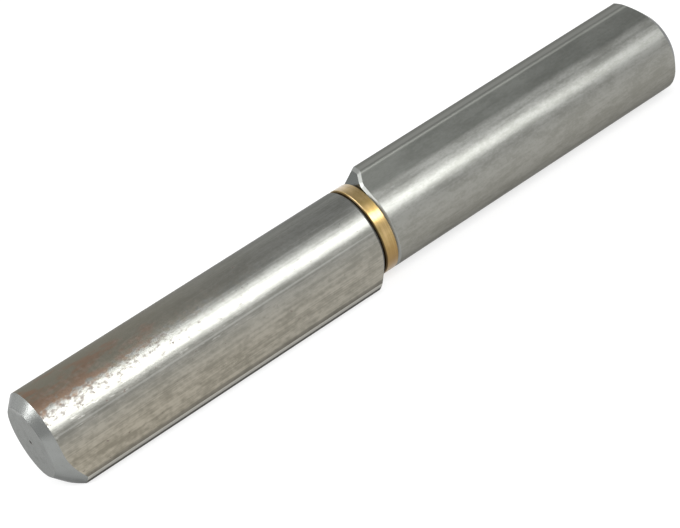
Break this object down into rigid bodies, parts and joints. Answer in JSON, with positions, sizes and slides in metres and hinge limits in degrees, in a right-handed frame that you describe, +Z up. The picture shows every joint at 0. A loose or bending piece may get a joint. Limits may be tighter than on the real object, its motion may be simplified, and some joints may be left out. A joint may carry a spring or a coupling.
{
  "type": "weld on barrel hinge",
  "caption": "Lift-off weld-on hinge: teardrop steel barrels end to end on a plain pin, with a brass washer between them; the weld edges are welded to a gate or door and its frame.",
  "frame": {"origin": "on the surface that the hinge lies on, under the middle of its length, where the washer is; the hinge axis passes 11 mm above it", "axes": "+X along the hinge axis, from the lower barrel that holds the pin to the upper barrel that lifts off; +Z up, away from the surface, with the lower barrel on one flat flank, and the upper barrel's weld edge up, leaning 1.8 degrees towards +Y; +Y level, across the axis, away from the lower barrel's weld edge"},
  "size_m": [0.18, 0.022, 0.0246],
  "materials": {
    "drawn_steel_lower": "cold drawn mild steel, satin, with storage rust",
    "drawn_steel_upper": "cold drawn mild steel, satin",
    "ground_steel": "ground round steel",
    "brass": "turned brass"
  },
  "bodies": {
    "lower_leaf": {"lower_barrel": "drawn_steel_lower", "hinge_pin": "ground_steel"},
    "washer": {"brass_washer": "brass"},
    "upper_leaf": {"upper_barrel": "drawn_steel_upper"}
  },
  "joints": [
    {"name": "swing", "type": "hinge", "parent": "lower_leaf", "child": "washer", "pos_m": [0, 0, 0.011], "axis": [1, 0, 0], "continuous": true},
    {"name": "lift_off", "type": "slide", "parent": "washer", "child": "upper_leaf", "axis": [1, 0, 0], "range_m": [0, 0.05]}
  ]
}
